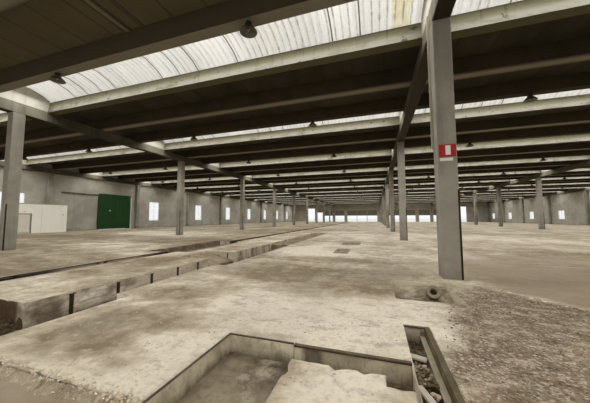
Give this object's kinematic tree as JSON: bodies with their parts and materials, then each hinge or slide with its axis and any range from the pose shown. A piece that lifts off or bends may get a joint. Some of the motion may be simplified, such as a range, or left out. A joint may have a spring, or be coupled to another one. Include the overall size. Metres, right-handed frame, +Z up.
{
  "type": "factory building, 1:10 scale model",
  "caption": "Precast concrete factory hall with four aisles, curved skylights between ribbed roof elements, side windows, a green sliding door and a small cabin.",
  "frame": {"origin": "bottom centre of the hall, on the underside of its floor raft", "axes": "+Y along the hall away from the viewer, +X across the aisles to the viewer's right, +Z up"},
  "size_m": [7.8, 13.24, 0.95],
  "materials": {
    "raft_concrete": "rough",
    "floor_concrete": "dusty",
    "steel_edge": "worn",
    "rusty_steel": "rusty",
    "column_concrete": "rough",
    "girder_concrete": "rough",
    "roof_concrete": "rough",
    "skylight_sheet": "weathered",
    "wall_concrete": "rough",
    "window_glass": "dusty",
    "shutter_metal": "dull",
    "green_paint": "dusty",
    "rail_steel": "worn",
    "cabin_panel": "dusty",
    "cabin_door_panel": "dusty",
    "lamp_metal": "dull",
    "guard_steel": "worn",
    "duct_plastic": "dusty",
    "plate_enamel": "faded"
  },
  "bodies": {
    "hall": {"foundation_raft": "raft_concrete", "floor_left": "floor_concrete", "floor_near": "floor_concrete", "floor_pits": "floor_concrete", "floor_far": "floor_concrete", "slot_edge_rail": "steel_edge", "pipe_stub": "rusty_steel", "columns_left_wall": "column_concrete", "columns_left_line": "column_concrete", "columns_middle_line": "column_concrete", "columns_right_line": "column_concrete", "columns_right_wall": "column_concrete", "girders_left_wall": "girder_concrete", "girders_left_line": "girder_concrete", "girders_middle_line": "girder_concrete", "girders_right_line": "girder_concrete", "girders_right_wall": "girder_concrete", "roof_left_aisle": "roof_concrete", "roof_middle_aisle": "roof_concrete", "roof_right_aisle": "roof_concrete", "roof_far_right_aisle": "roof_concrete", "skylights_left_aisle": "skylight_sheet", "skylights_middle_aisle": "skylight_sheet", "skylights_right_aisle": "skylight_sheet", "skylights_far_right_aisle": "skylight_sheet", "skylight_end_panels": "roof_concrete", "wall_end_panels": "roof_concrete", "wall_left": "wall_concrete", "wall_right": "wall_concrete", "wall_front": "wall_concrete", "wall_back": "wall_concrete", "window_glass_left": "window_glass", "window_glass_right": "window_glass", "roller_shutters_front": "shutter_metal", "roller_shutters_back": "shutter_metal", "sliding_door_rail": "rail_steel", "cabin": "cabin_panel", "lamps": "lamp_metal", "column_guards": "guard_steel", "cable_duct": "duct_plastic", "column_plate": "plate_enamel"},
    "sliding_door": {"sliding_door": "green_paint"},
    "cabin_door": {"cabin_door": "cabin_door_panel"}
  },
  "joints": [
    {"name": "sliding_door_slide", "type": "slide", "parent": "hall", "child": "sliding_door", "axis": [0, -1, 0], "range_m": [0, 0.445]},
    {"name": "cabin_door_hinge", "type": "hinge", "parent": "hall", "child": "cabin_door", "pos_m": [-3.6826, -3.3425, 0.18], "axis": [0, 0, -1], "range_deg": [0, 95]}
  ]
}
